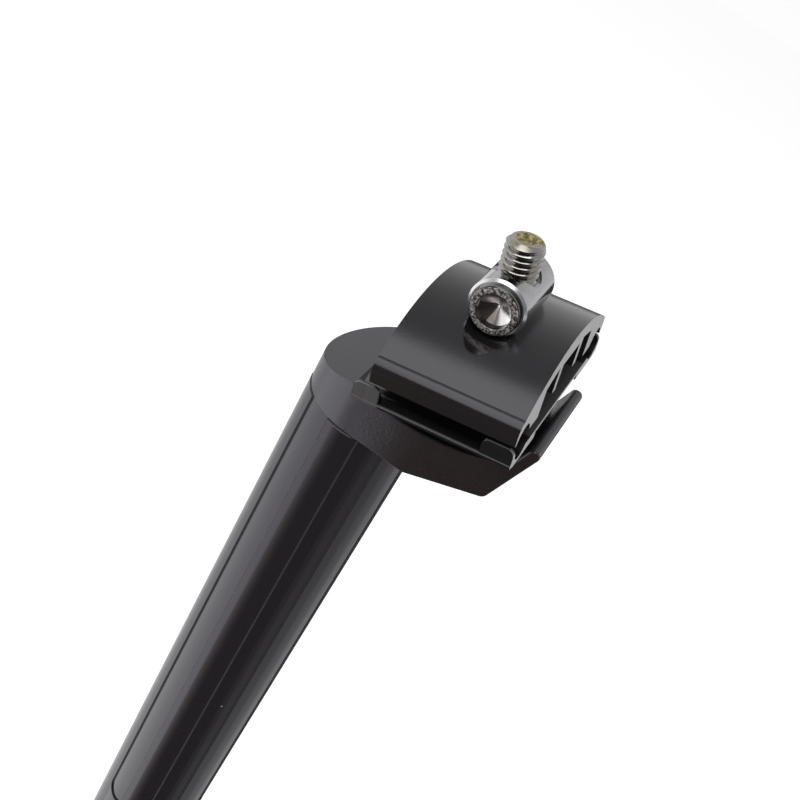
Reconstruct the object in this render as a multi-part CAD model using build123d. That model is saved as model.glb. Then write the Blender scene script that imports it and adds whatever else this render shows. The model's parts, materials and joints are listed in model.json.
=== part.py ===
from build123d import *
import os
from math import asin, cos, degrees, radians, sin, sqrt

os.makedirs("parts", exist_ok=True)

# All sizes are in millimetres and degrees.

# Post tube: axis on Z, lower end at the origin.
tube_r = 13.6
tube_wall = 2.2
tube_length = 323.0
tube_top_chamfer = 0.3
flute_count = 6
flute_width = 5.8
flute_depth = 0.4
flute_edge = 0.5
flute_start = 165.0

# Head: heights are above the tube's upper end, +X is the rear.
bond_gap = 0.05
spigot_length = 25.0
spigot_chamfer = 1.0
collar_inset = 0.15
collar_front = 6.8
seat_front_x = -2.3
seat_r = 45.0
seat_x = 8.0
seat_low = 10.6
foot_x = 14.7
heel_z = 6.7
heel_back = 5.1
heel_round = 2.0
rim_inner_x = 33.4
rim_thick = 2.7
rim_top = 22.9
rim_round = 1.2
lip_lean = 1.7
lip_round = 1.5
side_round = 0.5
recess_floor = 5.2
recess_front_x = 13.6
recess_wall = 1.5
recess_half = 7.6

# Saddle clamp: its own frame has its origin on the bolt axis at the height of the rails' axes.
clamp_x = 16.7
clamp_z = 25.85
clamp_tilt = 12.8
tilt_down = 2.5
tilt_up = 2.4
body_gap = 0.3
rail_r = 3.5
rail_half = 21.5

# Lower cradle.
cradle_front = 17.4
cradle_rear = 15.05
cradle_half = rail_half + 4.4
cradle_top = -2.1
cradle_bottom = -4.4
wing_taper = 2.4
wing_edge = -3.75
tab_top = 0.2
tab_front = 5.3
tab_rear = 6.3
tab_corner = 1.4
gap_floor = -3.05
gap_inner = rail_half + 1.5
block_half = 12.5
block_edge = 0.9
block_front_x = -13.0
block_rear_x = 9.5

# Upper clamp.
jaw_half_length = 14.7
jaw_crest = 12.3
jaw_arch_r = 45.0
jaw_wall = 3.1
jaw_bottom = 0.8
crease_half = rail_half + 2.0
crease_round = 1.5
bead_mid = (rail_half + 3.7, 4.55)
bead_low = (rail_half + 4.15, 2.6)
bead_foot = rail_half + 3.95
land_inner = 13.5
rib_outer = 7.0
rib_inner = 5.0
rib_bottom = 2.6
centre_pocket_top = 8.2

# Barrel nut.
nut_r = 5.9
nut_seat_gap = 0.05
nut_seat_bottom = 9.35
nut_shoulder = 8.2
nut_half_length = 9.6
nut_stub_r = 5.0
nut_chamfer = 0.5
drill_r = 3.5
drill_depth = 1.7
drill_cone = 2.1
countersink_r = 4.8

# Clamp bolt and curved washer.
bolt_r = 3.95
thread_gap = 0.05
bolt_top = 26.8
bolt_length = 48.0
bolt_chamfer = 0.9
bolt_cup_r = 2.3
bolt_cup_depth = 0.7
head_r = 5.5
head_height = 5.5
head_edge = 0.6
socket_flats = 6.0
socket_depth = 3.5
hole_gap = 0.5
washer_half_length = 4.8
washer_half_width = 6.8

seat_z = seat_low + seat_r
clamp_frame = Pos(clamp_x, 0, tube_length + clamp_z) * Rot(0, -clamp_tilt, 0)
axis_dx = seat_x - clamp_x
axis_dz = seat_z - clamp_z
pivot_x = axis_dx * cos(radians(clamp_tilt)) + axis_dz * sin(radians(clamp_tilt))
pivot_z = axis_dz * cos(radians(clamp_tilt)) - axis_dx * sin(radians(clamp_tilt))
recess_r = seat_r + recess_floor
hole_r = bolt_r + hole_gap
far = 100.0


def low_arc(centre_x, centre_z, radius, x):
    """Point at x on the lower half of a circle."""
    return (x, centre_z - sqrt(radius ** 2 - (x - centre_x) ** 2))


def arc_between(centre_x, centre_z, radius, x_from, x_to):
    """Arc of the lower half of a circle between two values of x."""
    middle = (x_from + x_to) / 2
    points = [low_arc(centre_x, centre_z, radius, x) for x in (x_from, middle, x_to)]
    return ThreePointArc(*points)


def closed(*pieces):
    """Face inside a closed loop of lines and arcs."""
    return make_face(Curve() + list(pieces))


def side_prism(face, half_width):
    """Prism of a face drawn in X and Z, centred on the plane of symmetry."""
    return extrude(Plane.XZ * face, half_width, both=True)


def band(y_from, y_to, z_from, z_to):
    """Rectangle given by its limits."""
    centre = Pos((y_from + y_to) / 2, (z_from + z_to) / 2)
    return centre * Rectangle(y_to - y_from, z_to - z_from)


def save(shape, name):
    """Write one node."""
    shape.label = name
    export_step(shape, "parts/" + name + ".step")


# Post tube with flutes that fade into the plain lower part.
tube = extrude(Circle(tube_r), tube_length)
tube = chamfer(tube.edges().sort_by(Axis.Z)[-1], tube_top_chamfer)
tube -= extrude(Circle(tube_r - tube_wall), tube_length)
flute_floor_r = tube_r - flute_depth
flute_lip_r = tube_r + flute_depth
floor_angle = degrees(asin(flute_width / 2 / flute_floor_r))
lip_angle = degrees(asin((flute_width / 2 + 2 * flute_edge) / flute_lip_r))


def polar(radius, angle):
    """Point at a radius and an angle from +X."""
    return (radius * cos(radians(angle)), radius * sin(radians(angle)))


flute_floor = [polar(flute_floor_r, a) for a in (-floor_angle, 0, floor_angle)]
flute_lip = [polar(flute_lip_r, a) for a in (-lip_angle, 0, lip_angle)]
flute_section = closed(
    ThreePointArc(*flute_floor),
    Line(flute_floor[2], flute_lip[2]),
    ThreePointArc(*flute_lip),
    Line(flute_lip[0], flute_floor[0]),
)
flute_run = tube_length - flute_start
flute = Pos(0, 0, flute_start) * extrude(flute_section, 2 * flute_run)
flute_window = SlotOverall(4 * flute_run, flute_width + 2 * flute_edge, rotation=90)
flute_window = Plane.YZ * (Pos(0, flute_start + 2 * flute_run) * flute_window)
flute &= extrude(flute_window, 2 * tube_r)
for i in range(flute_count):
    tube -= Rot(0, 0, 360 * i / flute_count) * flute
save(tube, "post_tube")

# Head: side outline with the curved seat above, a lip behind it and a sloping underside.
collar_r = tube_r - collar_inset
rim_back_x = rim_inner_x + rim_thick
heel = (rim_back_x - heel_back, heel_z)
rim_back = (rim_back_x, rim_top)
rim_inner = (rim_inner_x, rim_top)
lip_x = rim_inner_x - lip_lean
lip_foot = low_arc(seat_x, seat_z, seat_r, lip_x)
seat_front = low_arc(seat_x, seat_z, seat_r, seat_front_x)
head_side = closed(
    Polyline(
        seat_front,
        (-collar_r, collar_front),
        (-collar_r, 0),
        (foot_x, 0),
        heel,
        rim_back,
        rim_inner,
        lip_foot,
    ),
    arc_between(seat_x, seat_z, seat_r, lip_x, seat_front_x),
)
rounds = ((heel, heel_round), (rim_back, rim_round), (rim_inner, rim_round), (lip_foot, lip_round))
for point, radius in rounds:
    head_side = fillet(head_side.vertices().sort_by_distance((*point, 0))[0], radius)
plan = Circle(collar_r) + Pos(rim_back_x / 2, 0) * Rectangle(rim_back_x, 2 * collar_r)
head = side_prism(head_side, collar_r) & extrude(plan, far)
side_edges = head.faces().filter_by(Axis.Y).edges().filter_by(Axis.Z, reverse=True)
head = fillet(side_edges, side_round)
recess_back_x = heel[0] - recess_wall
recess_front = low_arc(seat_x, seat_z, recess_r, recess_front_x)
recess_back = low_arc(seat_x, seat_z, recess_r, recess_back_x)
recess_side = closed(
    arc_between(seat_x, seat_z, recess_r, recess_front_x, recess_back_x),
    Polyline(recess_back, (recess_back_x, -1), (recess_front_x, -1), recess_front),
)
head -= side_prism(recess_side, recess_half)
head = Pos(0, 0, tube_length) * head
slot_front = hole_r + recess_r * sin(radians(tilt_down))
slot_rear = hole_r + recess_r * sin(radians(tilt_up))
slot = Pos((slot_rear - slot_front) / 2, 0) * SlotOverall(slot_front + slot_rear, 2 * hole_r)
head -= clamp_frame * (Pos(0, 0, cradle_bottom - far) * extrude(slot, far))
spigot = Cylinder(tube_r - tube_wall - bond_gap, spigot_length)
spigot = chamfer(spigot.edges().sort_by(Axis.Z)[0], spigot_chamfer)
head += Pos(0, 0, tube_length - spigot_length / 2) * spigot
save(head, "head")

# Lower cradle: plate with rail grooves, wings cut back to corner tabs, curved block below.
plate = make_face(
    Polyline(
        (-cradle_half, tab_top),
        (-cradle_half, wing_edge),
        (wing_taper - cradle_half, cradle_bottom),
        (cradle_half - wing_taper, cradle_bottom),
        (cradle_half, wing_edge),
        (cradle_half, tab_top),
        close=True,
    )
)
plate -= band(-rail_half, rail_half, cradle_top, tab_top)
for side in (-1, 1):
    plate -= Pos(side * rail_half, 0) * Circle(rail_r)
cradle_length = cradle_front + cradle_rear
cradle = Pos(-cradle_front, 0, 0) * extrude(Plane.YZ * plate, cradle_length)
gap_from = tab_front - cradle_front
gap_to = cradle_rear - tab_rear
gap_face = band(gap_from, gap_to, gap_floor, gap_floor + 2 * tab_corner)
gap_face += band(gap_from - tab_corner, gap_to + tab_corner, tab_top - tab_corner, far)
for x, way in ((gap_from, -1), (gap_to, 1)):
    gap_face -= Pos(x + way * tab_corner, tab_top - tab_corner) * Circle(tab_corner)
    end_x = -cradle_front if way < 0 else cradle_rear
    corner = band(*sorted((end_x, end_x - way * tab_corner)), tab_top - tab_corner, tab_top)
    gap_face += corner - Pos(end_x - way * tab_corner, tab_top - tab_corner) * Circle(tab_corner)
gap_cut = extrude(Plane.XZ * gap_face, far, both=True)
gap_cut &= Box(far, 2 * cradle_half, far) - Box(far, 2 * gap_inner, far)
cradle -= gap_cut
block_r = seat_r - body_gap
block_low_front = low_arc(pivot_x, pivot_z, block_r, block_front_x)
block_low_rear = low_arc(pivot_x, pivot_z, block_r, block_rear_x)
block_side = closed(
    Polyline(
        block_low_front,
        (-cradle_front, cradle_top - block_edge),
        (-cradle_front, cradle_top),
        (cradle_rear, cradle_top),
        (cradle_rear, cradle_top - block_edge),
        block_low_rear,
    ),
    arc_between(pivot_x, pivot_z, block_r, block_rear_x, block_front_x),
)
cradle -= Box(far, 2 * block_half, far)
cradle += side_prism(block_side, block_half)
cradle -= Cylinder(hole_r, far)
save(clamp_frame * cradle, "lower_cradle")

# Upper clamp: arched section with beads, pockets and rail grooves, milled across for the nut.
arch_z = jaw_crest - jaw_arch_r
crease_z = arch_z + sqrt(jaw_arch_r ** 2 - crease_half ** 2)
arch = Pos(0, arch_z) * Circle(jaw_arch_r) & band(-crease_half, crease_half, jaw_bottom, far)
bead = closed(
    Line((rail_half, jaw_bottom), (rail_half, crease_z)),
    Line((rail_half, crease_z), (crease_half, crease_z)),
    ThreePointArc((crease_half, crease_z), bead_mid, bead_low),
    Line(bead_low, (bead_foot, jaw_bottom)),
    Line((bead_foot, jaw_bottom), (rail_half, jaw_bottom)),
)
inside = Pos(0, arch_z) * Circle(jaw_arch_r - jaw_wall)
pockets = inside & (band(-land_inner, -rib_outer, 0, far) + band(rib_outer, land_inner, 0, far))
pockets += band(-rib_inner, rib_inner, 0, centre_pocket_top)
pockets += band(-rib_outer, rib_outer, 0, rib_bottom)
section = arch + bead + mirror(bead, about=Plane.YZ)
for side in (-1, 1):
    crease = section.vertices().sort_by_distance((side * crease_half, crease_z, 0))[0]
    section = fillet(crease, crease_round)
section -= pockets
for side in (-1, 1):
    section -= Pos(side * rail_half, 0) * Circle(rail_r)
jaw = extrude(Plane.YZ * section, jaw_half_length, both=True)
nut_z = nut_seat_bottom + nut_r + nut_seat_gap
jaw -= Pos(0, 0, nut_z) * Rot(90, 0, 0) * Cylinder(nut_r + nut_seat_gap, far)
jaw -= Cylinder(hole_r, far)
save(clamp_frame * jaw, "upper_clamp")

# Barrel nut: axis across the clamp, a drilled blind hole in each end, bolt hole through the middle.
nut_outline = Polyline(
    (0, 0),
    (nut_r, 0),
    (nut_r, nut_shoulder - nut_chamfer),
    (nut_r - nut_chamfer, nut_shoulder),
    (nut_stub_r, nut_shoulder),
    (nut_stub_r, nut_half_length - nut_chamfer / 2),
    (nut_stub_r - nut_chamfer / 2, nut_half_length),
    (drill_r, nut_half_length),
    (drill_r, nut_half_length - drill_depth),
    (0, nut_half_length - drill_depth - drill_cone),
    close=True,
)
nut_half = revolve(Plane.XZ * make_face(nut_outline), Axis.Z)
nut = Rot(90, 0, 0) * (nut_half + mirror(nut_half, about=Plane.XY))
nut -= Cylinder(bolt_r + thread_gap, far)
sink_z = sqrt(nut_r ** 2 - countersink_r ** 2)
for way in (-1, 1):
    nut -= Pos(0, 0, way * (nut_r + sink_z) / 2) * Cylinder(countersink_r, nut_r - sink_z)
save(clamp_frame * Pos(0, 0, nut_z) * nut, "barrel_nut")

# Clamp bolt: plain shank at the thread's outer size, cupped upper end, socket head below.
shank_low = bolt_top - bolt_length
bolt_outline = Polyline(
    (0, bolt_top - bolt_cup_depth),
    (bolt_cup_r, bolt_top),
    (bolt_r - bolt_chamfer, bolt_top),
    (bolt_r, bolt_top - bolt_chamfer),
    (bolt_r, shank_low),
    (head_r, shank_low),
    (head_r, shank_low - head_height + head_edge),
    (head_r - head_edge, shank_low - head_height),
    (0, shank_low - head_height),
    close=True,
)
bolt = revolve(Plane.XZ * make_face(bolt_outline), Axis.Z)
socket = extrude(RegularPolygon(socket_flats / 2, 6, major_radius=False), socket_depth)
bolt -= Pos(0, 0, shank_low - head_height) * socket
save(clamp_frame * bolt, "clamp_bolt")

# Curved washer: its upper face follows the roof of the recess under the head.
washer_r = recess_r + body_gap
washer_top = [low_arc(pivot_x, pivot_z, washer_r, x) for x in (-washer_half_length, washer_half_length)]
washer_low = shank_low + body_gap
washer_side = closed(
    arc_between(pivot_x, pivot_z, washer_r, -washer_half_length, washer_half_length),
    Polyline(
        washer_top[1],
        (washer_half_length, washer_low),
        (-washer_half_length, washer_low),
        washer_top[0],
    ),
)
washer = side_prism(washer_side, washer_half_width) - Cylinder(hole_r, far)
save(clamp_frame * washer, "curved_washer")
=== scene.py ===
# %% [markdown]
# This lesson dresses a bicycle seatpost: a fluted black tube, a forged head and a clamp with
# one bolt that grips a saddle's two rails. The solids come from the CAD frame and keep their
# shape. Blender adds the finishes, the bolt's thread, the light and the camera.

# %% Load the frame
import bpy
import bmesh
import json
from math import ceil, cos, floor, pi, radians, sin
from mathutils import Matrix, Vector


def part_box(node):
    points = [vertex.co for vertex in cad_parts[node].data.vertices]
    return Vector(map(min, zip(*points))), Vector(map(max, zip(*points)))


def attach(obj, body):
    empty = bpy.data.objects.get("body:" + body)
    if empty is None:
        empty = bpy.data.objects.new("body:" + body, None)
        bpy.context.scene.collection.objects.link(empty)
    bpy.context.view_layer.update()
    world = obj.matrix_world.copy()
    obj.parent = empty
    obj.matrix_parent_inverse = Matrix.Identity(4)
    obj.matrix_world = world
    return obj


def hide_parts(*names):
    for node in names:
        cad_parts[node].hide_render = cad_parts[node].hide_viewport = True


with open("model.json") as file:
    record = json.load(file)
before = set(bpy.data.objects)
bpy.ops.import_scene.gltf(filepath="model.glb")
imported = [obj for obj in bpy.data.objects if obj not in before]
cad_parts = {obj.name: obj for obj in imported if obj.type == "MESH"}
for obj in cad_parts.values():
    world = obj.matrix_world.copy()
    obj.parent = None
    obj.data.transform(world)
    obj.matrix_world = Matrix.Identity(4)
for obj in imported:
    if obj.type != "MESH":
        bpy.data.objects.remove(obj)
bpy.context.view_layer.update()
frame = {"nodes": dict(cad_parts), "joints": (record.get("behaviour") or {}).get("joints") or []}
nodes = frame["nodes"]
print("nodes:", sorted(nodes))

# %% [markdown]
# The clamp sits at a slant on the head, so its pieces are easiest to describe in a frame of
# their own. The bolt's joint gives that frame: its axis is the clamp's up direction, and its
# point lies between the two saddle rails. Blender works in metres, and small sizes are easier to
# read in millimetres, so a helper turns one into the other.

# %% Find the clamp's own frame
MM = 0.001


def mm(*sizes):
    """Sizes in millimetres, as metres."""
    return tuple(size * MM for size in sizes)


joints = {joint["name"]: joint for joint in frame["joints"]}
clamp_up = Vector(joints["bolt_turn"]["axis"]).normalized()
clamp_side = Vector((0, 1, 0))
clamp_rear = clamp_side.cross(clamp_up)
clamp_centre = Vector(joints["bolt_turn"]["pos_m"])
clamp_turn = Matrix((clamp_rear, clamp_side, clamp_up)).transposed()
clamp_frame = Matrix.Translation(clamp_centre) @ clamp_turn.to_4x4()
seam_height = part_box("post_tube")[1].z
tube_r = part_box("post_tube")[1].x
print("seam height", round(seam_height, 4))
print("clamp centre", [round(part, 4) for part in clamp_centre])

# %% [markdown]
# A finish is a tree of nodes, each fed by the ones before it. This helper adds one node at a
# time and joins it to what feeds it, so that each finish below reads as a short list of steps.
# Many steps are masks, numbers from 0 to 1 that say where something is. A mask changes over a
# soft edge, which is given as a pair: the value where it is still 0 and the value where it is 1.

# %% Helper that adds nodes


class Nodes:
    """A node tree with short names for what is added to it."""

    def __init__(self, tree):
        self.tree = tree

    def feed(self, socket, value):
        """Give a socket a value, or join it to another node's output."""
        if isinstance(value, bpy.types.NodeSocket):
            self.tree.links.new(value, socket)
        else:
            socket.default_value = value

    def add(self, kind, settings=None, **inputs):
        """Add a node. An input goes by its name, or by its number as _0, _1 and so on."""
        node = self.tree.nodes.new(kind)
        for key, value in (settings or {}).items():
            setattr(node, key, value)
        for key, value in inputs.items():
            socket = node.inputs[int(key[1:])] if key[1:].isdigit() else node.inputs[key]
            self.feed(socket, value)
        return node.outputs

    def math(self, operation, first, second=0.0, third=0.0):
        settings = {"operation": operation}
        return self.add("ShaderNodeMath", settings, _0=first, _1=second, _2=third)[0]

    def both(self, first, second):
        return self.math("MULTIPLY", first, second)

    def either(self, first, second):
        return self.math("MAXIMUM", first, second)

    def step(self, value, edge, ends=(0.0, 1.0)):
        """Smooth step over a soft edge, from the first end to the last."""
        limits = {"From Min": edge[0], "From Max": edge[1], "To Min": ends[0], "To Max": ends[1]}
        settings = {"interpolation_type": "SMOOTHSTEP"}
        return self.add("ShaderNodeMapRange", settings, Value=value, **limits)["Result"]

    def away(self, value, edge):
        """Smooth step of how far a value is from zero, either way."""
        return self.step(self.math("ABSOLUTE", value), edge)

    def spread(self, pattern, ends):
        """A pattern from 0 to 1, spread evenly between two ends."""
        limits = {"To Min": ends[0], "To Max": ends[1]}
        return self.add("ShaderNodeMapRange", None, Value=pattern, **limits)["Result"]

    def reach(self, first, second):
        """Distance from an axis, from the two parts of a place that lie across it."""
        squares = self.both(first, first), self.both(second, second)
        return self.math("SQRT", self.math("ADD", *squares))

    def parts_of(self, vector):
        return self.add("ShaderNodeSeparateXYZ", None, Vector=vector)

    def blend(self, mask, first, second):
        """Number that is first where the mask is 0 and second where it is 1."""
        return self.add("ShaderNodeMix", None, Factor=mask, _2=first, _3=second)[0]

    def mix(self, mask, *tones):
        """Colour that is the first tone where the mask is 0 and the second where it is 1."""
        first, second = (t if isinstance(t, bpy.types.NodeSocket) else (*t, 1) for t in tones)
        settings = {"data_type": "RGBA"}
        return self.add("ShaderNodeMix", settings, Factor=mask, _6=first, _7=second)[2]


print("node helper ready")

# %% [markdown]
# A material's last node is its shader. The next helper starts a material and adds the places
# and patterns that the finishes share. Coordinates come from the object itself, which means a
# pattern stays on its piece when the piece moves. Pieces of the clamp use the clamp's own frame.

# %% Helper that starts a finish


class Finish(Nodes):
    """A material with one shader."""

    def __init__(self, name, colour, metallic, roughness):
        self.material = bpy.data.materials.new(name)
        self.material.use_nodes = True
        super().__init__(self.material.node_tree)
        self.shader = self.tree.nodes["Principled BSDF"]
        self.raised = None
        self.set("Base Color", (*colour, 1))
        self.set("Metallic", metallic)
        self.set("Roughness", roughness)

    def set(self, socket, value):
        """Set one of the shader's sockets to a value or another node's output."""
        self.feed(self.shader.inputs[socket], value)

    def bump(self, height, depth, strength):
        """Raise the surface by a height of so many metres, over any earlier bump."""
        inputs = {"Height": height, "Distance": depth, "Strength": strength}
        if self.raised is not None:
            inputs["Normal"] = self.raised
        self.raised = self.add("ShaderNodeBump", None, **inputs)["Normal"]
        self.set("Normal", self.raised)

    def place(self):
        """Position on the piece, in the part's frame."""
        return self.add("ShaderNodeTexCoord")["Object"]

    def facing(self):
        """Surface direction in the part's frame."""
        return self.add("ShaderNodeTexCoord")["Normal"]

    def clamp_place(self):
        """Position on the piece, in the clamp's own frame."""
        inverse = clamp_frame.inverted()
        moves = {"Location": inverse.translation, "Rotation": inverse.to_euler()}
        settings = {"vector_type": "POINT"}
        return self.add("ShaderNodeMapping", settings, Vector=self.place(), **moves)["Vector"]

    def clamp_facing(self):
        """Surface direction in the clamp's own frame."""
        moves = {"Rotation": clamp_frame.inverted().to_euler()}
        settings = {"vector_type": "NORMAL"}
        return self.add("ShaderNodeMapping", settings, Vector=self.facing(), **moves)["Vector"]

    def distance(self, place, centre):
        settings = {"operation": "DISTANCE"}
        return self.add("ShaderNodeVectorMath", settings, _0=place, _1=centre)["Value"]

    def noise(self, place, scale, detail, roughness, stretch=(1, 1, 1)):
        """Grain with a size in cells per metre, longer where a stretch value is small."""
        moved = self.add("ShaderNodeMapping", None, Vector=place, Scale=stretch)["Vector"]
        grain = {"Scale": scale, "Detail": detail, "Roughness": roughness}
        return self.add("ShaderNodeTexNoise", None, Vector=moved, **grain)["Fac"]


def dress(piece, finish):
    """Give a piece one finish."""
    piece.data.materials.clear()
    piece.data.materials.append(finish.material)


print("finish helper ready")

# %% [markdown]
# The tube is drawn aluminium, anodised black and polished enough to mirror the studio. Drawing
# leaves very fine lines along the tube, so the grain is stretched along Z and only just
# changes the gloss. The flutes' walls are duller, and their distance from the tube's axis finds
# them. A few specks of dust are cells of a second pattern, kept only near the cells' centres.

# %% Gloss black finish of the tube
tube_black = (0.0165, 0.0145, 0.0175)
tube_dust_tone = (0.35, 0.34, 0.33)
tube_roughness = (0.09, 0.15)
flute_roughness = 0.62
flute_floor = (tube_r - 0.36 * MM, tube_r - 0.32 * MM)
flute_mouth = (tube_r - 0.08 * MM, tube_r - 0.12 * MM)
along_tube = (1, 1, 0.012)
dusty_cells = (0.86, 0.88)
speck_blur = 1.3


def dust(finish, place, cells, size):
    """Mask with a few specks, one in some of the cells of a cell pattern."""
    cell = finish.add("ShaderNodeTexVoronoi", None, Vector=place, Scale=cells)
    chosen = finish.step(finish.parts_of(cell["Color"])["X"], dusty_cells)
    speck = finish.step(cell["Distance"], (size * cells * speck_blur, size * cells))
    return finish.both(chosen, speck)


tube_finish = Finish("gloss_black_anodised", tube_black, metallic=0.0, roughness=0.14)
tube_place = tube_finish.place()
tube_at = tube_finish.parts_of(tube_place)
tube_reach = tube_finish.reach(tube_at["X"], tube_at["Y"])
drawn = tube_finish.noise(tube_place, scale=500, detail=3, roughness=0.5, stretch=along_tube)
above_floor = tube_finish.step(tube_reach, flute_floor)
below_mouth = tube_finish.step(tube_reach, flute_mouth)
flute_wall = tube_finish.both(above_floor, below_mouth)
tube_gloss = tube_finish.spread(drawn, tube_roughness)
tube_finish.set("Roughness", tube_finish.blend(flute_wall, tube_gloss, flute_roughness))
tube_finish.bump(drawn, depth=0.002 * MM, strength=0.3)
tube_dust = dust(tube_finish, tube_place, cells=130, size=0.25 * MM)
tube_finish.set("Base Color", tube_finish.mix(tube_dust, tube_black, tube_dust_tone))
tube_finish.set("Specular IOR Level", 0.64)
tube_finish.set("Specular Tint", (0.90, 0.875, 1.0, 1))
dress(nodes["post_tube"], tube_finish)
print("tube dressed, radius", round(tube_r, 4))

# %% [markdown]
# The head is a forging with a satin black skin. Its side walls are a little brown at the rear.
# Towards the front, faces that do not look up are painted lighter and greyer: painted light, for
# the light that the clamp's wings keep off the walls further back. So the tone is mixed by place
# and by the way a face looks. A cloudy pattern keeps each tone from being flat.

# %% Satin black tones of the head
head_black = (0.026, 0.022, 0.022)
head_dust_tone = (0.30, 0.28, 0.26)
plain_tones = ((0.016, 0.0152, 0.017), (0.024, 0.0230, 0.0255))
wall_tones = ((0.018, 0.0122, 0.0114), (0.026, 0.0180, 0.0168))
front_painted_light_tones = ((0.046, 0.044, 0.051), (0.060, 0.058, 0.067))
head_roughness = (0.22, 0.32)
sideways = (0.5, 0.8)
not_upward = (0.8, 0.5)
towards_front = mm(16, 1)

head_finish = Finish("satin_black_head", head_black, metallic=0.0, roughness=0.34)
head_place = head_finish.place()
head_at = head_finish.parts_of(head_place)
head_facing = head_finish.parts_of(head_finish.facing())
cloud = head_finish.noise(head_place, scale=110, detail=3, roughness=0.6)
on_wall = head_finish.away(head_facing["Y"], sideways)
# Painted light: faces near the front are painted lighter and greyer, where the clamp's wings do
# not shade them.
front_painted_light = head_finish.both(
    head_finish.step(head_at["X"], towards_front),
    head_finish.step(head_facing["Z"], not_upward),
)
plain_tone = head_finish.mix(cloud, *plain_tones)
side_tone = head_finish.mix(on_wall, plain_tone, head_finish.mix(cloud, *wall_tones))
head_tone = head_finish.mix(front_painted_light, side_tone, head_finish.mix(cloud, *front_painted_light_tones))
head_dust = dust(head_finish, head_place, cells=150, size=0.22 * MM)
head_finish.set("Base Color", head_finish.mix(head_dust, head_tone, head_dust_tone))
head_finish.set("Roughness", head_finish.spread(cloud, head_roughness))
head_finish.set("Specular IOR Level", 0.55)
head_finish.set("Specular Tint", (0.95, 0.93, 1.0, 1))
print("head toned")

# %% [markdown]
# The head's skin has a fine even grain. The slanted face in front was milled, so faint lines
# cross it, and one small patch on the near wall is pitted, where the forging's surface was not
# dressed. Each is a bump of its own depth, and the bumps are laid one over the other.

# %% Grain of the head
patch_centre = (6.5 * MM, -13.4 * MM, seam_height + 5.5 * MM)
patch_edge = mm(6.5, 3.0)
upward = (0.85, 0.90)
across_face = (1, 0.03, 1)

skin = head_finish.noise(head_place, scale=1700, detail=3, roughness=0.6)
pits = head_finish.noise(head_place, scale=1500, detail=1, roughness=0.5)
lines = head_finish.noise(head_place, scale=900, detail=2, roughness=0.5, stretch=across_face)
patch = head_finish.step(head_finish.distance(head_place, patch_centre), patch_edge)
milled = head_finish.step(head_facing["Z"], upward)
head_finish.bump(skin, depth=0.012 * MM, strength=0.5)
head_finish.bump(head_finish.both(pits, patch), depth=0.16 * MM, strength=0.7)
head_finish.bump(head_finish.both(lines, milled), depth=0.02 * MM, strength=0.6)
dress(nodes["head"], head_finish)
print("head dressed")

# %% [markdown]
# The upper clamp and the cradle are sawn from black extrusions, so their end faces are bare
# aluminium with fine saw lines. The black itself has a smudge and a grain along the extrusion, and
# a lighter tone shows where a second mask says so: wear and painted light on the cradle, painted
# light on the upper clamp's sides. One helper makes this finish for both.

# %% Helpers for sawn extrusions
clamp_black = (0.011, 0.010, 0.0105)
black_tones = ((0.008, 0.0072, 0.0080), (0.014, 0.0128, 0.0138))
bare_tones = ((0.62, 0.615, 0.61), (0.90, 0.895, 0.885))
bare_metallic = 0.7
bare_roughness = 0.45
satin_roughness = (0.16, 0.26)
saw_stretch = (1, 1, 0.05)
along_extrusion = (0.04, 1, 1)
end_face = (0.93, 0.97)


def extrusion(name):
    """Start a finish. Gives it with its place and the three parts of its surface direction."""
    finish = Finish(name, clamp_black, metallic=0.0, roughness=0.32)
    finish.set("Specular Tint", (0.96, 0.945, 1.0, 1))
    return finish, finish.clamp_place(), finish.parts_of(finish.clamp_facing())


def sawn(finish, place, ends, lighter_mask, lighter_tones):
    """Mix bare ends and a lighter tone, for wear and painted light, into the black. Gives the
    roughness.
    """
    saw = finish.noise(place, scale=1400, detail=3, roughness=0.6, stretch=saw_stretch)
    smudge = finish.noise(place, scale=160, detail=4, roughness=0.6)
    black = finish.mix(lighter_mask, finish.mix(smudge, *black_tones), finish.mix(saw, *lighter_tones))
    finish.set("Base Color", finish.mix(ends, black, finish.mix(saw, *bare_tones)))
    finish.set("Metallic", finish.both(ends, bare_metallic))
    grain = finish.noise(place, scale=500, detail=3, roughness=0.6, stretch=along_extrusion)
    fine = finish.noise(place, scale=2400, detail=2, roughness=0.5)
    finish.bump(grain, depth=0.006 * MM, strength=0.6)
    finish.bump(fine, depth=0.020 * MM, strength=0.7)
    return finish.blend(ends, finish.spread(grain, satin_roughness), bare_roughness)


print("extrusion helpers ready")

# %% [markdown]
# On the upper clamp, the end faces are found by their direction in the clamp's own frame. Its side
# faces are painted a little lighter and warmer: painted light on the bead. The seat that was
# milled across it for the nut is smoother than the rest and mirrors the nut. It is found by its
# distance from the nut's axis.

# %% Satin black finish of the upper clamp
jaw_side_light_tones = ((0.0125, 0.0105, 0.0105), (0.0165, 0.0140, 0.0140))
jaw_side = (0.75, 0.95)
nut_z = 15.3 * MM
nut_seat_edge = mm(6.12, 6.02)
nut_seat_roughness = 0.09

jaw_finish, jaw_place, jaw_facing = extrusion("satin_black_upper_clamp")
jaw_at = jaw_finish.parts_of(jaw_place)
jaw_ends = jaw_finish.away(jaw_facing["X"], end_face)
# Painted light: the side faces get a lighter tone, for the light on the bead.
jaw_painted_light_sides = jaw_finish.away(jaw_facing["Y"], jaw_side)
jaw_roughness = sawn(jaw_finish, jaw_place, jaw_ends, jaw_painted_light_sides, jaw_side_light_tones)
above_nut = jaw_finish.math("SUBTRACT", jaw_at["Z"], nut_z)
nut_seat = jaw_finish.step(jaw_finish.reach(jaw_at["X"], above_nut), nut_seat_edge)
jaw_finish.set("Roughness", jaw_finish.blend(nut_seat, jaw_roughness, nut_seat_roughness))
dress(nodes["upper_clamp"], jaw_finish)
print("upper clamp dressed")
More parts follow.
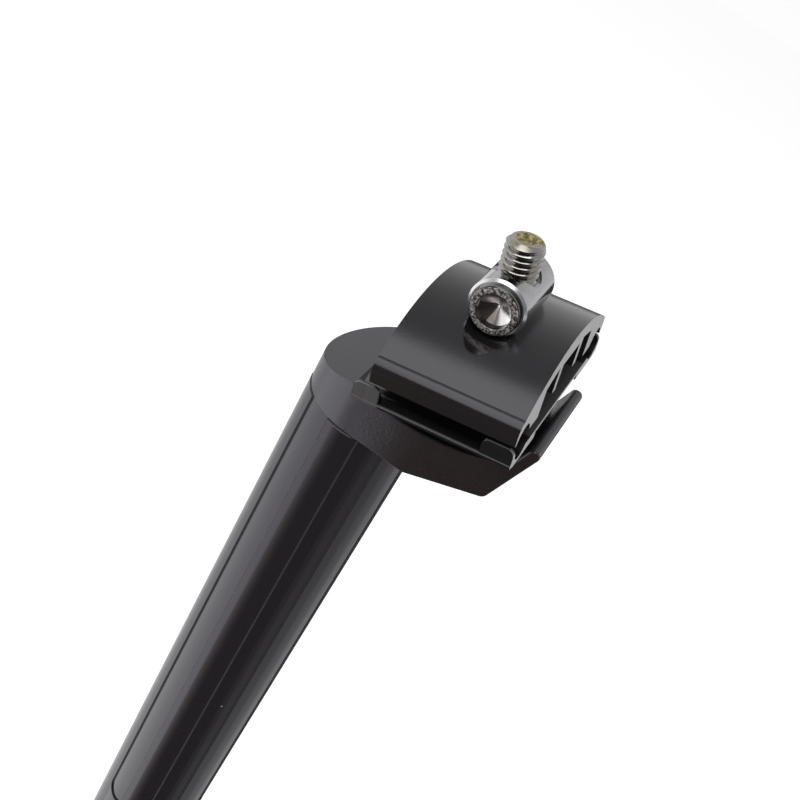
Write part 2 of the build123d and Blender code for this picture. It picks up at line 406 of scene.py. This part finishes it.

# %% [markdown]
# The cradle's wings were milled back to four tabs, so only the faces at its two far ends are bare.
# Use has rubbed the black thin along the tabs' rims and on the front tabs. The lower edges get the
# same lighter tone, partly bare metal and partly a painted highlight, and the top between the
# rails gets it as painted light. Each place is a mask by direction and by distance from the
# clamp's middle.

# %% Satin black finish of the cradle
cradle_wear_and_light_tones = ((0.06, 0.058, 0.06), (0.15, 0.147, 0.15))
cut_rear = mm(14.9, 15.0)
cut_front = mm(-17.25, -17.35)
tab_rim = mm(25.35, 25.6)
off_side = (0.75, 0.65)
side_face = (0.9, 0.95)
low_edge_z = -3.15 * MM
low_edge_band = mm(0.169, 0.091)
front_tab = mm(-11.5, -12.5)
front_tab_wear = 0.6
between_rails = mm(16.5, 15.5)
top_face = (0.4, 0.8)
top_light_share = 0.65

cradle_finish, cradle_place, cradle_facing = extrusion("satin_black_cradle")
cradle_at = cradle_finish.parts_of(cradle_place)
far_ends = cradle_finish.either(
    cradle_finish.step(cradle_at["X"], cut_rear),
    cradle_finish.step(cradle_at["X"], cut_front),
)
cradle_ends = cradle_finish.both(cradle_finish.away(cradle_facing["X"], end_face), far_ends)
worn_rims = cradle_finish.both(
    cradle_finish.away(cradle_at["Y"], tab_rim),
    cradle_finish.away(cradle_facing["Y"], off_side),
)
cradle_sides = cradle_finish.away(cradle_facing["Y"], side_face)
# The lower edges' lighter band is partly bare metal and partly a painted highlight.
above_low_edge = cradle_finish.math("SUBTRACT", cradle_at["Z"], low_edge_z)
low_band = cradle_finish.away(above_low_edge, low_edge_band)
bare_and_highlit_low_edges = cradle_finish.both(cradle_sides, low_band)
front_sides = cradle_finish.both(cradle_sides, cradle_finish.step(cradle_at["X"], front_tab))
worn_tabs = cradle_finish.both(front_sides, front_tab_wear)
# The top between the rails is painted lighter: painted light, standing in for light that reaches
# it through the clamp's open rear.
middle = cradle_finish.away(cradle_at["Y"], between_rails)
middle_top = cradle_finish.both(cradle_finish.step(cradle_facing["Z"], top_face), middle)
painted_light_top = cradle_finish.both(middle_top, top_light_share)
worn_and_highlit_edges = cradle_finish.either(worn_rims, bare_and_highlit_low_edges)
cradle_wear_and_light = cradle_finish.either(worn_and_highlit_edges, cradle_finish.either(worn_tabs, painted_light_top))
cradle_roughness = sawn(cradle_finish, cradle_place, cradle_ends, cradle_wear_and_light, cradle_wear_and_light_tones)
cradle_finish.set("Roughness", cradle_roughness)
dress(nodes["lower_cradle"], cradle_finish)
print("cradle dressed")

# %% [markdown]
# The nut, the washer and the bolt are zinc plated steel, bright but not a perfect mirror. The
# washer hides under the head and is the plainest of the three, so it comes first: a faint mottle
# in the plating changes its tone and its gloss.

# %% Bright zinc finish of the washer
zinc_tones = ((0.34, 0.335, 0.34), (0.50, 0.495, 0.50))
washer_roughness = (0.22, 0.34)


def zinc(name, roughness):
    """Plated steel with a faint mottle. Gives the finish, its place, the mottle and the gloss."""
    finish = Finish(name, zinc_tones[1], metallic=1.0, roughness=roughness[0])
    place = finish.clamp_place()
    mottle = finish.noise(place, scale=600, detail=4, roughness=0.6)
    finish.bump(mottle, depth=0.008 * MM, strength=0.5)
    return finish, place, mottle, finish.spread(mottle, roughness)


washer_finish, _, washer_mottle, washer_gloss = zinc("bright_zinc_washer", washer_roughness)
washer_finish.set("Base Color", washer_finish.mix(washer_mottle, *zinc_tones))
washer_finish.set("Roughness", washer_gloss)
dress(nodes["curved_washer"], washer_finish)
print("washer dressed")

# %% [markdown]
# The nut was turned on a lathe. Each end has a pale shoulder, a neck, a rim that is rough where
# the bar was broken off, and a drilled cone. Two distances tell these places apart: one from the
# nut's axis and one along it from the middle.

# %% Places on the nut
nut_roughness = (0.08, 0.18)
rim_start = mm(9.5, 9.56)
outside_drill = mm(3.55, 3.65)
shoulder_start = mm(7.62, 7.68)
outside_neck = mm(5.02, 5.06)
inside_shoulder = mm(5.02, 4.98)
neck_skin = mm(4.4, 4.6)
cone_start = mm(9.3, 9.2)
inside_drill = mm(3.48, 3.42)

nut_finish, nut_place, nut_mottle, nut_gloss = zinc("bright_zinc_nut", nut_roughness)
nut_at = nut_finish.parts_of(nut_place)
nut_up = nut_finish.math("SUBTRACT", nut_at["Z"], nut_z)
nut_reach = nut_finish.reach(nut_at["X"], nut_up)
past_shoulder = nut_finish.away(nut_at["Y"], shoulder_start)
shoulder = nut_finish.both(past_shoulder, nut_finish.step(nut_reach, outside_neck))
neck_surface = nut_finish.both(
    nut_finish.step(nut_reach, inside_shoulder),
    nut_finish.step(nut_reach, neck_skin),
)
neck = nut_finish.both(past_shoulder, neck_surface)
nut_rim = nut_finish.both(
    nut_finish.away(nut_at["Y"], rim_start),
    nut_finish.step(nut_reach, outside_drill),
)
cone = nut_finish.both(
    nut_finish.away(nut_at["Y"], cone_start),
    nut_finish.step(nut_reach, inside_drill),
)
print("nut axis", round(nut_z, 4), "above the rails")

# %% [markdown]
# The neck and the front half of the cone are painted darker: painted shade on the neck and a
# painted reflection of the dark clamp and post on the cone. The cone mirrors light in wedges, like
# the base of a pan: that is the shader's anisotropy, with a tangent that points away from the
# axis. The lathe's rings come from a pattern that is stretched out across the axis.

# %% Bright zinc finish of the nut
nut_tones = ((0.27, 0.268, 0.28), (0.42, 0.418, 0.43))
shoulder_tone = (0.92, 0.93, 0.95)
cone_reflection_tones = ((0.42, 0.37, 0.35), (0.92, 0.905, 0.90))
# The neck's dark tone is painted shade.
neck_shade_tone = (0.10, 0.095, 0.095)
rim_tones = ((0.10, 0.070, 0.064), (0.95, 0.915, 0.90))
rim_speckle = (0.42, 0.58)
cone_reflection_lean = 0.3
cone_reflection_edge = mm(-1.1, 0.7)
worked_roughness = 0.32
cone_roughness = 0.18
cone_anisotropy = 0.9
round_axis = (0.02, 1, 0.02)

# The cone's front half is painted dark: a painted reflection of the dark clamp and post.
across = nut_finish.math("MULTIPLY_ADD", nut_up, cone_reflection_lean, nut_at["X"])
cone_tone = nut_finish.mix(nut_finish.step(across, cone_reflection_edge), *cone_reflection_tones)
broken = nut_finish.noise(nut_place, scale=1900, detail=4, roughness=0.7)
rim_tone = nut_finish.mix(nut_finish.step(broken, rim_speckle), *rim_tones)
nut_tone = nut_finish.mix(nut_mottle, *nut_tones)
places = ((shoulder, shoulder_tone), (cone, cone_tone), (neck, neck_shade_tone), (nut_rim, rim_tone))
for mask, tone in places:
    nut_tone = nut_finish.mix(mask, nut_tone, tone)
nut_finish.set("Base Color", nut_tone)
worked = nut_finish.either(shoulder, nut_rim)
nut_satin = nut_finish.blend(worked, nut_gloss, worked_roughness)
nut_finish.set("Roughness", nut_finish.blend(cone, nut_satin, cone_roughness))

outward = nut_finish.add("ShaderNodeCombineXYZ", None, X=nut_at["X"], Z=nut_up)[0]
to_part = {"Vector": outward, "Rotation": clamp_frame.to_euler()}
tangent = nut_finish.add("ShaderNodeMapping", {"vector_type": "VECTOR"}, **to_part)["Vector"]
nut_finish.set("Tangent", tangent)
nut_finish.set("Anisotropic", nut_finish.both(cone, cone_anisotropy))
turned = nut_finish.noise(nut_place, scale=2600, detail=2, roughness=0.5, stretch=round_axis)
nut_finish.bump(turned, depth=0.006 * MM, strength=0.5)
nut_finish.bump(nut_finish.both(broken, nut_rim), depth=0.3 * MM, strength=0.9)
dress(nodes["barrel_nut"], nut_finish)
print("nut dressed")

# %% [markdown]
# The bolt's thread is a real helix. A skin of small faces follows it: each row of points climbs
# by one pitch in one turn, so a crest is one unbroken row and stays crisp, and the last column
# joins the first column one turn further up. Near the head the thread runs out into the plain
# shank. Two flat cuts then trim the ends. Sizes are in millimetres until the bolt is done.

# %% Cut the bolt's thread
pitch = 1.25
thread_r = 3.95
bolt_top = 26.79
bolt_chamfer = 0.9
shank_low = -21.2
run_out_low = -8.5
run_out_high = -6.0
columns = 72
crest_to_crest = (
    (0.0, thread_r),
    (0.12, thread_r),
    (0.30, 3.64),
    (0.46, 3.32),
    (0.56, 3.27),
    (0.66, 3.32),
    (0.82, 3.64),
)


def thread_point(radius, turn, height):
    """Point on the thread: full size at the run-out, cut back at the upper end's chamfer."""
    share = (height - run_out_low) / (run_out_high - run_out_low)
    share = min(max(share, 0.0), 1.0)
    run_out = 1 - share * share * (3 - 2 * share)
    reach = radius + (thread_r - radius) * run_out
    reach = min(reach, thread_r - bolt_chamfer + max(bolt_top - height, 0.0))
    return Vector((reach * cos(turn), reach * sin(turn), height))


def trim(mesh, height, way):
    """Cut off what lies beyond a height, upward or downward."""
    plane = {"plane_co": (0, 0, height), "plane_no": (0, 0, way)}
    geometry = list(mesh.verts) + list(mesh.edges) + list(mesh.faces)
    bmesh.ops.bisect_plane(mesh, geom=geometry, clear_outer=True, **plane)


bolt_mesh = bmesh.new()
first_lap = floor(shank_low / pitch) - 2
last_lap = ceil(bolt_top / pitch) + 1
rows = []
for lap in range(first_lap, last_lap):
    for share, radius in crest_to_crest:
        row = []
        for i in range(columns):
            turn = 2 * pi * i / columns
            height = (lap + share + turn / (2 * pi)) * pitch
            row.append(bolt_mesh.verts.new(thread_point(radius, turn, height)))
        rows.append(row)
per_lap = len(crest_to_crest)
for j in range(len(rows) - per_lap - 1):
    for i in range(columns):
        if i + 1 < columns:
            corners = rows[j][i], rows[j][i + 1], rows[j + 1][i + 1], rows[j + 1][i]
        else:
            corners = rows[j][i], rows[j + per_lap][0], rows[j + per_lap + 1][0], rows[j + 1][i]
        bolt_mesh.faces.new(corners)
trim(bolt_mesh, bolt_top, 1)
trim(bolt_mesh, shank_low, -1)
loose = [vert for vert in bolt_mesh.verts if not vert.link_faces]
bmesh.ops.delete(bolt_mesh, geom=loose, context="VERTS")
print("thread faces:", len(bolt_mesh.faces))

# %% [markdown]
# The upper end is cupped. Its rings grow from the trimmed edge inward: the open edge is pulled
# out into a new ring, the ring is set to its radius and depth, and so on to the middle.

# %% Close the bolt's upper end
cup_rings = ((2.3, 0.0), (1.9, 0.32), (1.1, 0.55), (0.0, 0.7))
nearly = 0.01
weld = 0.0005

open_edges = [
    edge
    for edge in bolt_mesh.edges
    if edge.is_boundary and all(vert.co.z > bolt_top - nearly for vert in edge.verts)
]
for radius, depth in cup_rings:
    grown = bmesh.ops.extrude_edge_only(bolt_mesh, edges=open_edges)["geom"]
    new_edges = [part for part in grown if isinstance(part, bmesh.types.BMEdge)]
    open_edges = [edge for edge in new_edges if edge.is_boundary]
    for vert in grown:
        if isinstance(vert, bmesh.types.BMVert):
            flat = Vector((vert.co.x, vert.co.y, 0)).normalized() * radius
            vert.co = (flat.x, flat.y, bolt_top - depth)
bmesh.ops.remove_doubles(bolt_mesh, verts=bolt_mesh.verts, dist=weld)
print("points so far:", len(bolt_mesh.verts))

# %% [markdown]
# The lower end is a low socket head. It is a stack of rings, like a turned piece, but a ring's
# radius may change with the angle: that gives the fine ribs on the side and the six flats of the
# socket from the same few lines.

# %% Turn the bolt's socket head
head_columns = 144
head_r = 5.5
head_low = shank_low - 5.5
rib_depth = 0.12
socket_half = 3.0


def plain(radius):
    """Ring of one radius."""
    return lambda i: radius


def ribbed(i):
    return head_r - rib_depth * (i // 2 % 2)


def six_flats(i):
    turn = 2 * pi * i / head_columns
    return socket_half / cos((turn + pi / 6) % (pi / 3) - pi / 6)


head_rings = (
    (plain(3.0), shank_low),
    (plain(head_r - 0.25), shank_low),
    (ribbed, shank_low - 0.2),
    (ribbed, head_low + 0.6),
    (plain(head_r - 0.2), head_low + 0.45),
    (plain(head_r - 0.6), head_low),
    (plain(3.65), head_low),
    (six_flats, head_low + 0.3),
    (six_flats, head_low + 3.4),
    (plain(2.0), head_low + 3.5),
    (plain(0.01), head_low + 3.5),
)
stack = []
for reach, height in head_rings:
    ring = []
    for i in range(head_columns):
        turn = 2 * pi * i / head_columns
        ring.append(bolt_mesh.verts.new((reach(i) * cos(turn), reach(i) * sin(turn), height)))
    stack.append(ring)
for upper, lower in zip(stack, stack[1:]):
    for i in range(head_columns):
        k = (i + 1) % head_columns
        bolt_mesh.faces.new((upper[i], lower[i], lower[k], upper[k]))
print("bolt faces:", len(bolt_mesh.faces))

# %% [markdown]
# The bolt now goes from its own millimetres to its place in the part. It stands for the CAD
# bolt, which is a plain cylinder, and moves with the same body. Faces that meet at a small angle
# are shaded smooth, and the thread's and the head's edges stay sharp.

# %% Put the bolt in its place
sharp_angle = radians(26)

for vert in bolt_mesh.verts:
    vert.co = clamp_frame @ (vert.co * MM)
bolt_data = bpy.data.meshes.new("threaded_bolt")
bolt_mesh.to_mesh(bolt_data)
bolt_mesh.free()
bolt_data.shade_smooth()
bolt_data.set_sharp_from_angle(angle=sharp_angle)
bolt = bpy.data.objects.new("threaded_bolt", bolt_data)
bpy.context.scene.collection.objects.link(bolt)
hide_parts("clamp_bolt")
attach(bolt, "bolt")
print("bolt points:", len(bolt_data.vertices))

# %% [markdown]
# The bolt is plated like the nut, and its chamfer is duller. Old grease has dried to a yellow
# crust in the cup of its upper end and tints some of the thread's roots. The crust's outline is a
# distance from one point with noise added to it, so it is ragged.

# %% Bright zinc finish of the bolt
bolt_roughness = (0.10, 0.20)
bolt_tones = ((0.30, 0.295, 0.295), (0.46, 0.455, 0.455))
chamfer_start = mm(25.8, 25.95)
chamfer_roughness = 0.36
root_edge = mm(3.75, 3.4)
stain_edge = (0.45, 0.62)
stain_tone = (0.34, 0.31, 0.20)
crust_centre = mm(0.45, 0.60, 26.3)
crust_edge = mm(3.75, 3.50)
crust_low = mm(25.9, 26.0)
crust_ragged = 1.8 * MM
crust_speckle = (0.40, 0.62)
crust_tones = ((0.11, 0.080, 0.02), (0.46, 0.40, 0.19))
crust_metallic = 0.15

bolt_finish, bolt_place, bolt_mottle, bolt_gloss = zinc("bright_zinc_bolt", bolt_roughness)
bolt_at = bolt_finish.parts_of(bolt_place)
chamfer = bolt_finish.step(bolt_at["Z"], chamfer_start)
bolt_finish.set("Roughness", bolt_finish.blend(chamfer, bolt_gloss, chamfer_roughness))
bolt_reach = bolt_finish.reach(bolt_at["X"], bolt_at["Y"])
spots = bolt_finish.noise(bolt_place, scale=260, detail=3, roughness=0.6)
stain = bolt_finish.both(
    bolt_finish.step(bolt_reach, root_edge),
    bolt_finish.step(spots, stain_edge),
)
stained = bolt_finish.mix(stain, bolt_finish.mix(bolt_mottle, *bolt_tones), stain_tone)
crumbs = bolt_finish.noise(bolt_place, scale=900, detail=4, roughness=0.65)
crust_away = bolt_finish.distance(bolt_place, crust_centre)
ragged_away = bolt_finish.math("MULTIPLY_ADD", crumbs, crust_ragged, crust_away)
crust = bolt_finish.both(
    bolt_finish.step(ragged_away, crust_edge),
    bolt_finish.step(bolt_at["Z"], crust_low),
)
crust_tone = bolt_finish.mix(bolt_finish.step(crumbs, crust_speckle), *crust_tones)
bolt_finish.set("Base Color", bolt_finish.mix(crust, stained, crust_tone))
bolt_finish.set("Metallic", bolt_finish.blend(crust, 1.0, crust_metallic))
bolt_finish.bump(bolt_finish.both(crumbs, crust), depth=0.5 * MM, strength=0.9)
dress(bolt, bolt_finish)
print("bolt dressed")

# %% [markdown]
# A big pale floor fills the picture and glows a little, as an overlit backdrop does.

# %% Floor
floor_half = 6.0
floor_tone = (0.94, 0.94, 0.94)
floor_glow = 0.52
white = (1, 1, 1, 1)


def flat_piece(name, corners, finish):
    """One flat piece of the stage."""
    mesh = bpy.data.meshes.new(name)
    mesh.from_pydata(corners, [], [list(range(len(corners)))])
    piece = bpy.data.objects.new(name, mesh)
    bpy.context.scene.collection.objects.link(piece)
    dress(piece, finish)
    return piece


floor_finish = Finish("pale_floor", floor_tone, metallic=0.0, roughness=0.8)
floor_finish.set("Emission Color", white)
floor_finish.set("Emission Strength", floor_glow)
floor_corners = [(-floor_half, -floor_half, 0), (floor_half, -floor_half, 0)]
floor_corners += [(floor_half, floor_half, 0), (-floor_half, floor_half, 0)]
flat_piece("floor", floor_corners, floor_finish)
print("floor", 2 * floor_half, "m wide")

# %% [markdown]
# Black gloss has no colour of its own: what it mirrors is what is seen. For that reason a ring of
# cards lies on the floor round the post, from black to pale, and gives the tube its dark middle
# and its soft bands. A dark wall stands behind the camera and to its right, and gives the bright
# metal its contrast. Only reflections see the cards and the wall.

# %% Cards and wall for the reflections
card_roughness = 0.9
card_steps = 8
card_height = 2 * MM
card_near = 0.016
far = 5.9
close = 1.6
cards = (
    ((0.98, 0.98, 1.00), -150, -90, far),
    ((0.60, 0.57, 0.55), -26, -20, far),
    ((0.38, 0.30, 0.27), -20, -15, far),
    ((0.16, 0.105, 0.085), -15, -9, far),
    ((0.01, 0.01, 0.01), -9, 50, far),
    ((0.12, 0.12, 0.12), 50, 60, far),
    ((0.28, 0.28, 0.28), 60, 80, close),
    ((0.46, 0.46, 0.46), 80, 100, close),
    ((0.62, 0.62, 0.62), 100, 122, close),
    ((0.85, 0.85, 0.85), 122, 144, close),
    ((0.05, 0.05, 0.05), 144, 200, close),
)
wall_tone = (0.02, 0.018, 0.017)
wall_low = 0.01
wall_high = 1.75
walls = (
    ("wall_near", (-1.3, -3.0), (3.2, -3.0)),
    ("wall_right", (3.2, -3.0), (3.2, -0.4)),
)


def only_in_mirrors(piece):
    """Hide a piece of the stage from all but reflections."""
    piece.visible_camera = False
    piece.visible_diffuse = False
    piece.visible_shadow = False


def card(name, tone, turn_from, turn_to, card_far):
    """A card flat on the floor, round the post. Turns are measured from -Y towards +X."""
    corners = []
    shares = [i / card_steps for i in range(card_steps + 1)]
    turns = [radians(turn_from + (turn_to - turn_from) * share) for share in shares]
    for reach, order in ((card_near, turns), (card_far, turns[::-1])):
        corners += [(reach * sin(turn), -reach * cos(turn), card_height) for turn in order]
    finish = Finish(name, tone, metallic=0.0, roughness=card_roughness)
    only_in_mirrors(flat_piece(name, corners, finish))


for number, settings in enumerate(cards):
    card("card_" + str(number), *settings)
wall_finish = Finish("dark_wall", wall_tone, metallic=0.0, roughness=card_roughness)
for name, start, end in walls:
    corners = [(*start, wall_low), (*end, wall_low), (*end, wall_high), (*start, wall_high)]
    only_in_mirrors(flat_piece(name, corners, wall_finish))
print("cards:", len(cards), "walls:", len(walls))

# %% [markdown]
# The sky stands for the room: white low down, greyer overhead and darkest behind the camera. It
# is one brightness, worked out from the direction of a ray: its Z says how high the ray looks,
# and its Y how far it looks to the camera's side.

# %% Sky
overhead_edge = (sin(radians(10)), sin(radians(58)))
overhead_ends = (0.90, 0.52)
behind_edge = (-0.55, 0.20)
behind_ends = (0.88, 0.0)
room_low = (sin(radians(9)), sin(radians(24)))

scene = bpy.context.scene
scene.view_settings.view_transform = "Standard"
world = bpy.data.worlds.new("studio")
scene.world = world
world.use_nodes = True
sky = Nodes(world.node_tree)
ray = sky.parts_of(sky.add("ShaderNodeTexCoord")["Generated"])
overhead = sky.step(ray["Z"], overhead_edge, overhead_ends)
behind = sky.step(ray["Y"], behind_edge, behind_ends)
dark_room = sky.both(behind, sky.step(ray["Z"], room_low))
brightness = sky.both(overhead, sky.math("SUBTRACT", 1.0, dark_room))
background = world.node_tree.nodes["Background"]
sky.feed(background.inputs["Color"], white)
sky.feed(background.inputs["Strength"], brightness)
print("sky from", overhead_ends[0], "low down to", overhead_ends[1], "overhead")

# %% [markdown]
# One softbox hangs overhead, to the front of the clamp and on the camera's side. It is placed by
# its edges as seen from the clamp, and its power follows from its size, so that its brightness
# stays the same when an edge is moved.

# %% Softbox
box_x = (-0.80, 0.10)
box_y = (-1.40, 0.15)
box_height = 1.0
box_brightness = 2.45

lamp = bpy.data.lights.new("softbox", "AREA")
lamp.shape = "RECTANGLE"
lamp.size = box_x[1] - box_x[0]
lamp.size_y = box_y[1] - box_y[0]
lamp.energy = box_brightness * pi * lamp.size * lamp.size_y
light = bpy.data.objects.new("softbox", lamp)
scene.collection.objects.link(light)
light.location = clamp_centre + Vector((sum(box_x) / 2, sum(box_y) / 2, box_height))
print("softbox", round(lamp.energy, 2), "W")

# %% [markdown]
# The camera stands where the photograph was taken from. Its place is given by two angles, a
# roll and a distance from a point near the tube's axis, a little above the seam.

# %% Camera
azimuth = radians(8.01)
elevation = radians(37.0)
roll = radians(30.22)
distance = 258.8 * MM
target = Vector((5.25 * MM, 0, seam_height + 4.6 * MM))
image_size = 800
focal_pixels = 1249.74
sensor = 36.0
nearest = 0.01

back = Vector((sin(azimuth) * cos(elevation), -cos(azimuth) * cos(elevation), sin(elevation)))
right = Vector((cos(azimuth), sin(azimuth), 0))
up = back.cross(right)
image_right = cos(roll) * right + sin(roll) * up
image_up = -sin(roll) * right + cos(roll) * up
view = Matrix((image_right, image_up, back)).transposed().to_4x4()
lens = bpy.data.cameras.new("camera")
lens.sensor_width = sensor
lens.lens = sensor * focal_pixels / image_size
lens.clip_start = nearest
camera = bpy.data.objects.new("camera", lens)
scene.collection.objects.link(camera)
camera.matrix_world = Matrix.Translation(target + distance * back) @ view
scene.camera = camera
print("lens", round(lens.lens, 2), "mm")
